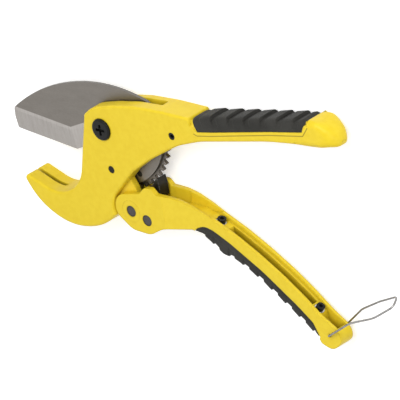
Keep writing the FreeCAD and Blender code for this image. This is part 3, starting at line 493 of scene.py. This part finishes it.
# Painted highlight: the drive pawl's edges are painted light grey, partly worn steel and partly a painted
# highlight.
pawl_steel = make_metal("pawl_steel", (0.006, 0.006, 0.005, 1), (0.015, 0.014, 0.012, 1), (0.3, 0.45),
                        wear_and_highlight=(0.6, 0.58, 0.55, 1), Specular_IOR_Level=0.2)
stamped_steel = make_metal("stamped_steel", (0.10, 0.09, 0.08, 1), (0.17, 0.155, 0.14, 1), (0.35, 0.5),
                           wear_and_highlight=(0.35, 0.34, 0.33, 1), Metallic=1.0)
spring_wire = make_metal("spring_wire", (0.17, 0.165, 0.16, 1), (0.34, 0.33, 0.32, 1), (0.18, 0.3),
                         size=0.002, Metallic=1.0)
zinc = make_metal("zinc_plate", (0.5, 0.5, 0.52, 1), (0.7, 0.7, 0.7, 1), (0.2, 0.35),
                  size=0.002, Metallic=1.0)
print("metals:", black_oxide.name, pawl_steel.name, stamped_steel.name, spring_wire.name, zinc.name)

# %% [markdown]
# ## The blade
#
# The blade is a ground plate. Its flat is darker than its bevels, which were ground
# last, across the edge. Where a bevel starts is a straight line at a fixed distance
# from its edge, so a dot product with the direction square to the edge finds it. The
# blade's tail, behind the pivot, has no bevel.

# %% Blade steel
EDGE_TIP = Vector((-0.0798, -0.0157, 0))
EDGE_HEEL = Vector((-0.0336, -0.0226, 0))
HEEL_RUN = math.radians(21.8)
BEVEL_WIDTH = 0.0142
LINE_HALF = 0.00008
TAIL_X, TAIL_FADE = -0.008, 0.001


def across(direction):
    """The unit vector square to an edge, pointing into the blade."""
    direction = direction.normalized()
    return Vector((-direction.y, direction.x, 0))


def bevel_mask(tree, point, direction):
    """1 within BEVEL_WIDTH of the line through the heel along a direction, 0 beyond it."""
    offset = vector_node(tree, "SUBTRACT", point, tuple(EDGE_HEEL))
    depth = vector_node(tree, "DOT_PRODUCT", offset, tuple(across(direction)))
    return map_range(tree, depth, BEVEL_WIDTH + LINE_HALF, BEVEL_WIDTH - LINE_HALF)


def make_blade_steel():
    """Dull flats with fine rolling grain, and brighter bevels with marks across the edge."""
    material, tree, shader = new_material("blade_steel", Metallic=1.0)
    point = object_point(tree)
    edge = bevel_mask(tree, point, EDGE_HEEL - EDGE_TIP)
    heel = bevel_mask(tree, point, Vector((math.cos(HEEL_RUN), math.sin(HEEL_RUN), 0)))
    apart = tree.nodes.new("ShaderNodeSeparateXYZ")
    tree.links.new(point, apart.inputs[0])
    jaw_side = map_range(tree, apart.outputs["X"], TAIL_X, TAIL_X - TAIL_FADE)
    bevel = math_node(tree, "MULTIPLY", math_node(tree, "MAXIMUM", edge, heel), jaw_side)
    flat = place_group(tree, grain_group, Size=0.006, Stretch=(0.6, 1.6, 1.0))
    ground = place_group(tree, grain_group, Size=0.0012, Stretch=(1.0, 0.06, 1.0))
    wear_and_highlight_edges = place_group(tree, wear_and_highlight_group, Width=0.0002)
    dull = mix_colour(tree, map_range(tree, flat.outputs["Height"], 0.3, 0.7),
                      (0.150, 0.138, 0.124, 1), (0.178, 0.164, 0.148, 1))
    bright = mix_colour(tree, map_range(tree, ground.outputs["Height"], 0.3, 0.7),
                        (0.28, 0.262, 0.245, 1), (0.36, 0.34, 0.322, 1))
    tree.links.new(mix_colour(tree, bevel, dull, bright), shader.inputs["Base Color"])
    tree.links.new(map_range(tree, bevel, 0.0, 1.0, 0.42, 0.34), shader.inputs["Roughness"])
    lines = math_node(tree, "MULTIPLY", ground.outputs["Height"], bevel)
    tree.links.new(bump(tree, lines, 0.15, 0.0001, wear_and_highlight_edges.outputs["Rounded"]), shader.inputs["Normal"])
    return material


blade_steel = make_blade_steel()
print("blade steel:", blade_steel.name)


# %% [markdown]
# ## Pin ends
#
# The handle pin and the pawl pin end flush with the lower handle's cheeks: mottled
# grey, faint turned rings, and a dark ring where pin and hole meet. The rings could be
# an image, but they have to lie round each pin's own axis, so both pins get the same
# recipe with their own centre.

# %% Pins pressed in the handle
def make_pin_steel(name, centre, radius):
    """Grey phosphate with a mottled middle and a dark ring where the pin meets its hole."""
    material, tree, shader = new_material(name, Metallic=0.6)
    end = place_group(tree, pin_end_group, Centre=centre, Radius=radius)
    grain = place_group(tree, grain_group, Size=0.0012)
    grey = mix_colour(tree, map_range(tree, grain.outputs["Height"], 0.35, 0.65),
                      (0.03, 0.028, 0.029, 1), (0.08, 0.072, 0.072, 1))
    tree.links.new(mix_colour(tree, end.outputs["Rim"], grey, (0.02, 0.018, 0.018, 1)),
                   shader.inputs["Base Color"])
    tree.links.new(map_range(tree, grain.outputs["Height"], 0.3, 0.7, 0.35, 0.55), shader.inputs["Roughness"])
    height = math_node(tree, "ADD", grain.outputs["Height"],
                       math_node(tree, "MULTIPLY", end.outputs["Rings"], 0.2))
    tree.links.new(bump(tree, height, 0.2, 0.0002), shader.inputs["Normal"])
    return material


def middle(node):
    """Centre of a CAD node's box, in metres."""
    low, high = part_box(node)
    return tuple((a + b) / 2 for a, b in zip(low, high))


PIN_RADIUS = 0.0036
pins = {node: make_pin_steel(node + "_steel", middle(node), PIN_RADIUS)
        for node in ("handle_pin", "pawl_pin")}
print("pins:", ", ".join(pins))


# %% [markdown]
# ## Rubber
#
# The grips are moulded rubber: very dark, matt, and never quite black. A low specular
# level and a high roughness do most of it, and a fine grain breaks up what shine is
# left. The valleys between the ribs are painted darker than the tops as painted shade,
# which the mask of hollows gives, so no second material is needed there.

# %% Rubber
def make_rubber():
    """Moulded rubber: nearly black, matt, with a fine spark-eroded grain, and painted shade between the ribs.
    """
    material, tree, shader = new_material("grip_rubber", IOR=1.45, Specular_IOR_Level=0.25)
    grain = place_group(tree, grain_group, Size=0.0012)
    blotch = place_group(tree, grain_group, Size=0.012)
    colour = mix_colour(tree, map_range(tree, blotch.outputs["Mask"], 0.35, 0.65),
                        (0.020, 0.0193, 0.0165, 1), (0.032, 0.031, 0.027, 1))
    # Painted shade: the valleys between the ribs and other hollows are darkened to near black.
    colour = mix_colour(tree, painted_shade_mask(tree, 0.004, 0.85, 0.4, 0.85), colour, (0.004, 0.004, 0.0035, 1))
    tree.links.new(colour, shader.inputs["Base Color"])
    tree.links.new(map_range(tree, grain.outputs["Height"], 0.3, 0.7, 0.55, 0.75), shader.inputs["Roughness"])
    tree.links.new(bump(tree, grain.outputs["Height"], 0.35, 0.0002), shader.inputs["Normal"])
    return material


rubber = make_rubber()
print("rubber:", rubber.name)

# %% [markdown]
# ## Rubber grips
#
# A grip is a moulded sleeve pressed over the handle's back. Across the handle it is an
# arch: upright sides that turn over into a crowned top. Along the handle it carries
# ribs that lie like roof tiles: a step up, a slow rise towards the rear, a sharp step
# down, and a narrow valley. The ribs could be separate meshes in an array, but one surface
# of two parameters lets them follow the handle's curve and fade on its sides: u runs along
# the handle, and the angle a from the near lip over the top to the far lip. The plain
# solid grips stay for the physics, and these finer skins stand for them.

# %% Surfaces on a grid
def smooth(x):
    """3x^2 - 2x^3 between 0 and 1, flat outside."""
    x = np.clip(x, 0.0, 1.0)
    return x * x * (3 - 2 * x)


def grid_mesh(name, points):
    """A closed skin from rings of points, one ring for each u, with a flat face at each end."""
    rings, around, _ = points.shape
    index = np.arange(rings * around).reshape(rings, around)
    ahead = np.roll(index, -1, axis=1)
    quads = np.stack([index[:-1], index[1:], ahead[1:], ahead[:-1]], axis=-1).reshape(-1, 4)
    mesh = bpy.data.meshes.new(name)
    mesh.from_pydata(points.reshape(-1, 3).tolist(), [],
                     quads.tolist() + [index[0].tolist(), index[-1][::-1].tolist()])
    return mesh


def add_piece(name, mesh, body, material, *stands_for, crease=38):
    """Puts a mesh in the scene on a body. Edges that turn more than crease degrees stay sharp.

    A closed skin whose faces point outwards has a positive volume, so one whose volume comes
    out negative is turned over. Faces that are there twice are dropped.
    """
    fix = bmesh.new()
    fix.from_mesh(mesh)
    bmesh.ops.recalc_face_normals(fix, faces=fix.faces)
    if fix.calc_volume(signed=True) < 0:
        bmesh.ops.reverse_faces(fix, faces=fix.faces)
    print(name, "volume:", round(fix.calc_volume(signed=True) * 1e6, 3), "cm3")
    fix.to_mesh(mesh)
    fix.free()
    mesh.validate()
    mesh.shade_smooth()
    mesh.set_sharp_from_angle(angle=math.radians(crease))
    piece = bpy.data.objects.new(name, mesh)
    bpy.context.scene.collection.objects.link(piece)
    mesh.materials.append(material)
    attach(piece, body)
    if stands_for:
        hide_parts(*stands_for)
    print(name, "has", len(mesh.vertices), "points and", len(mesh.polygons), "faces")
    return piece


def sampled(line, count, rounds=0):
    """A polyline sampled evenly along its length, then smoothed by averaging neighbours."""
    line = np.asarray(line, float)
    length = np.concatenate([[0.0], np.cumsum(np.hypot(*np.diff(line, axis=0).T))])
    at = np.linspace(0, length[-1], count)
    points = np.stack([np.interp(at, length, line[:, k]) for k in range(2)], axis=-1)
    for _ in range(rounds):
        points[1:-1] = (points[:-2] + 2 * points[1:-1] + points[2:]) / 4
    return points


# %% One row of ribs
RIB_START = 0.6
STEP_UP, STEP_DOWN = 0.05, 0.04


def ribs(phase, valley):
    """Height of a row of ribs: 0 in the valley, then RIB_START rising to 1, and a sharp step down."""
    share = phase - np.floor(phase)
    tile = RIB_START + (1 - RIB_START) * (share - valley) / (1 - valley)
    return smooth((share - valley) / STEP_UP) * smooth((1 - share) / STEP_DOWN) * tile


# %% The sleeve
SIDE_POWER, CROWN_POWER = 0.35, 0.7
AROUND = 45
HANDLE_MIDDLE = 10.0
ROOF = 2.4
VALLEY_SINK = 0.16
RIB_FOOT, FOOT_FADE, END_FADE = 0.36, 0.1, 0.03
SIDE_SINK = 0.3


def sleeve(crest, lip, half, wall, count, valley, height, lean, first, ends):
    """Rings of a grip in metres, from crest and lip lines in millimetres.

    Across, the arch is a superellipse: z = half * cos(a) ** SIDE_POWER, and the share of the
    way from lip to crest is sin(a) ** CROWN_POWER. Ribs stand out square to the crest. They
    fade at their foot on the sides, and beyond the ends, which are shares of the length. At the
    sides only the valleys go in, so no rib stands out past half. The sleeve is open below: its
    inside is upright at wall from the sides and level at ROOF under the crest.
    """
    u = np.linspace(0, 1, len(crest))[:, None]
    a = np.linspace(0, np.pi, AROUND)[None, :]
    side = np.cos(a)
    z = np.sign(side) * np.abs(side) ** SIDE_POWER
    rise = np.abs(np.sin(a)) ** CROWN_POWER
    up = crest - lip
    tangent = np.gradient(crest, axis=0)
    tangent /= np.hypot(*tangent.T)[:, None]
    normal = np.stack([-tangent[:, 1], tangent[:, 0]], axis=-1)
    normal *= np.sign((normal * up).sum(axis=1).mean())
    within = smooth((u - ends[0]) / END_FADE) * smooth((ends[1] - u) / END_FADE)
    mask = smooth((rise - RIB_FOOT) / FOOT_FADE) * within
    wave = (ribs(u * count - first + lean * rise, valley) - VALLEY_SINK) * height * mask
    outward = 1 - np.abs(side) ** 4
    xy = lip[:, None] + up[:, None] * rise[..., None] + normal[:, None] * (wave * outward)[..., None]
    inward = (wave - (1 - VALLEY_SINK) * height * mask) * side ** 2 * SIDE_SINK
    z = half * z + np.sign(side) * inward
    outside = np.concatenate([xy, (HANDLE_MIDDLE + z)[..., None]], axis=-1)
    level = np.clip(1 - ROOF / np.maximum(np.hypot(*up.T), 0.1), 0, 1)[:, None]
    inside = []
    for turn, share in ((-1, 0), (-1, 1), (1, 1), (1, 0)):
        flat = lip + up * level * share
        wall_z = HANDLE_MIDDLE + turn * (half - wall)
        inside.append(np.column_stack([flat, np.full(len(flat), wall_z)]))
    return np.concatenate([outside, np.stack(inside, axis=1)], axis=1) / 1000


# %% Upper grip
UPPER_CREST = [(74.6, 18.3), (168.2, 31.1)]
UPPER_LIP = [(79.0, 10.8), (90.0, 12.4), (138.0, 20.6), (165.6, 24.6)]
rings = sleeve(sampled(UPPER_CREST, 260), sampled(UPPER_LIP, 260, 20), half=9.75, wall=1.85,
               count=6.88, valley=0.28, height=2.0, lean=0.12, first=0.22, ends=(0.015, 0.985))
add_piece("upper_grip_skin", grid_mesh("upper_grip_skin", rings), "frame", rubber, "upper_grip")

# %% Lower grip, with its finger stop
LOWER_CREST = [(60.6, -58.6), (66.0, -61.2), (71.6, -64.2), (75.6, -68.2), (79.2, -70.8), (84.0, -71.2),
               (93.0, -74.4), (107.0, -82.6), (128.0, -98.2), (147.6, -113.4)]
LOWER_LIP = [(60.8, -58.0), (63.2, -55.9), (69.0, -54.0), (75.0, -56.0), (87.0, -62.2), (111.0, -77.2),
             (135.0, -95.4), (145.6, -104.6), (148.2, -111.0)]
rings = sleeve(sampled(LOWER_CREST, 300, 12), sampled(LOWER_LIP, 300, 30), half=6.3, wall=1.5,
               count=8.6, valley=0.36, height=1.8, lean=0.1, first=0.3, ends=(0.02, 0.985))
add_piece("lower_grip_skin", grid_mesh("lower_grip_skin", rings), "lower_lever", rubber, "lower_grip")

# %% [markdown]
# ## Rounded end of the upper handle
#
# The upper handle ends in a dome: its top turns down to a low tip, its underside stays
# nearly straight, and its sides close in. A bevel would only break the edges. So a copy
# of the casting is cut into small faces there, and each point outside the dome is drawn
# in to it.

# %% The dome
CAP_START, CAP_TIP = 0.1690, 0.1892
CAP_TOP, CAP_BOTTOM, CAP_LOW = 0.0325, 0.0152, 0.0180
CAP_HALF = 0.010


def fine_copy(node, name, start, size):
    """A merged copy of a solid's mesh, cut until no edge beyond x = start is longer than size."""
    mesh = nodes[node].data.copy()
    mesh.name = name
    cut = bmesh.new()
    cut.from_mesh(mesh)
    bmesh.ops.remove_doubles(cut, verts=cut.verts, dist=1e-7)
    for _ in range(8):
        long = [e for e in cut.edges if e.calc_length() > size and max(v.co.x for v in e.verts) > start]
        if not long:
            break
        bmesh.ops.subdivide_edges(cut, edges=long, cuts=1)
        bmesh.ops.triangulate(cut, faces=[f for f in cut.faces if len(f.verts) > 3])
    cut.to_mesh(mesh)
    cut.free()
    return mesh


def draw_in(mesh):
    """Draws points beyond CAP_START in to the dome.

    With s from 0 at the start to 1 at the tip, the half width is CAP_HALF * sqrt(1 - s^3),
    the top falls by sqrt(1 - s^2.2) and the bottom rises by sqrt(1 - s^7). Across, it is a
    superellipse whose power falls from 9 to 3, so the box turns round gradually.
    """
    points = np.empty(len(mesh.vertices) * 3)
    mesh.vertices.foreach_get("co", points)
    points = points.reshape(-1, 3)
    s = np.clip((points[:, 0] - CAP_START) / (CAP_TIP - CAP_START), 0, 0.999)
    top = CAP_LOW + (CAP_TOP - CAP_LOW) * np.sqrt(1 - s ** 2.2)
    bottom = CAP_LOW - (CAP_LOW - CAP_BOTTOM) * np.sqrt(1 - s ** 7)
    wide = CAP_HALF * np.sqrt(1 - s ** 3)
    power = 9 - 6 * smooth(s / 0.7)
    tall = (points[:, 1] - (top + bottom) / 2) / ((top - bottom) / 2)
    side = (points[:, 2] - CAP_HALF) / wide
    far = (np.abs(tall) ** power + np.abs(side) ** power) ** (1 / power)
    pull = np.where((s > 0) & (far > 1), 1 / far, 1.0)
    points[:, 1] = (top + bottom) / 2 + tall * pull * (top - bottom) / 2
    points[:, 2] = CAP_HALF + side * pull * wide
    mesh.vertices.foreach_set("co", points.ravel())
    print("drawn in:", int((pull < 1).sum()), "of", len(points), "points")


casting = fine_copy("body_casting", "rounded_casting", CAP_START - 0.001, 0.0012)
draw_in(casting)
casting.materials.clear()
add_piece("rounded_casting", casting, "frame", seamed_enamel, "body_casting", crease=14)

# %% [markdown]
# ## Paint over the washers
#
# Washers fill the holes round the handle pin in the lower handle's two cheeks. A film of
# paint covers the joint round each one. It is a flat ring, far thinner than it is wide.

# %% The paint film
FILM_INNER, FILM_OUTER, FILM_THICK = 0.0038, 0.0072, 0.00003
FILM_STEPS = 96


def washer_film(name, face, outward):
    """A flat ring on a cheek's outer face round the handle pin's end, FILM_THICK proud of it.

    It is four circles, centre + radius * (cos turn, sin turn), joined into a closed band.
    """
    turn = np.linspace(0, 2 * np.pi, FILM_STEPS, endpoint=False)
    centre = middle("handle_pin")
    rings = []
    for radius, height in ((FILM_INNER, 0), (FILM_OUTER, 0), (FILM_OUTER - FILM_THICK, FILM_THICK),
                           (FILM_INNER + FILM_THICK, FILM_THICK)):
        rings.append(np.stack([centre[0] + radius * np.cos(turn), centre[1] + radius * np.sin(turn),
                               np.full(FILM_STEPS, face + outward * height)], axis=-1))
    index = np.arange(4 * FILM_STEPS).reshape(4, FILM_STEPS)
    ahead, above = np.roll(index, -1, axis=1), np.roll(index, -1, axis=0)
    corner = np.roll(above, -1, axis=1)
    mesh = bpy.data.meshes.new(name)
    mesh.from_pydata(np.concatenate(rings).tolist(), [],
                     np.stack([index, ahead, corner, above], axis=-1).reshape(-1, 4).tolist())
    add_piece(name, mesh, "lower_lever", enamel)


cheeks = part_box("lower_handle")
washer_film("near_paint_film", cheeks[1][2], 1)
washer_film("far_paint_film", cheeks[0][2], -1)

# %% [markdown]
# ## Dressing the solids
#
# Every solid gets the finish that its piece has on the real tool, also inside, where
# bush, springs and rivets are seen once the tool is taken apart. Lines for each piece
# would do, but a dictionary keeps all the choices in one place.

# %% Give every solid its finish
finishes = {
    "body_casting": seamed_enamel, "lower_handle": enamel, "handle_pin_washers": enamel,
    "blade": blade_steel, "ratchet_plate": stamped_steel, "holding_pawl": stamped_steel,
    "drive_pawl": pawl_steel, "pivot_bolt": black_oxide, "stop_pin": black_oxide,
    "spring_pin": black_oxide, "upper_grip_screws": black_oxide, "lower_grip_screws": black_oxide,
    "blade_rivets": black_oxide, "handle_pin": pins["handle_pin"], "pawl_pin": pins["pawl_pin"],
    "wire_bail": spring_wire, "blade_spring": spring_wire, "pawl_spring": spring_wire,
    "holding_pawl_spring": spring_wire, "pivot_bush": zinc, "pawl_spacer": zinc,
    "upper_grip_washers": zinc, "lower_grip_washers": zinc, "upper_grip": rubber, "lower_grip": rubber,
}
for name, material in finishes.items():
    slots = nodes[name].data.materials
    slots.clear()
    slots.append(material)
print("dressed:", len(finishes), "of", len(nodes))
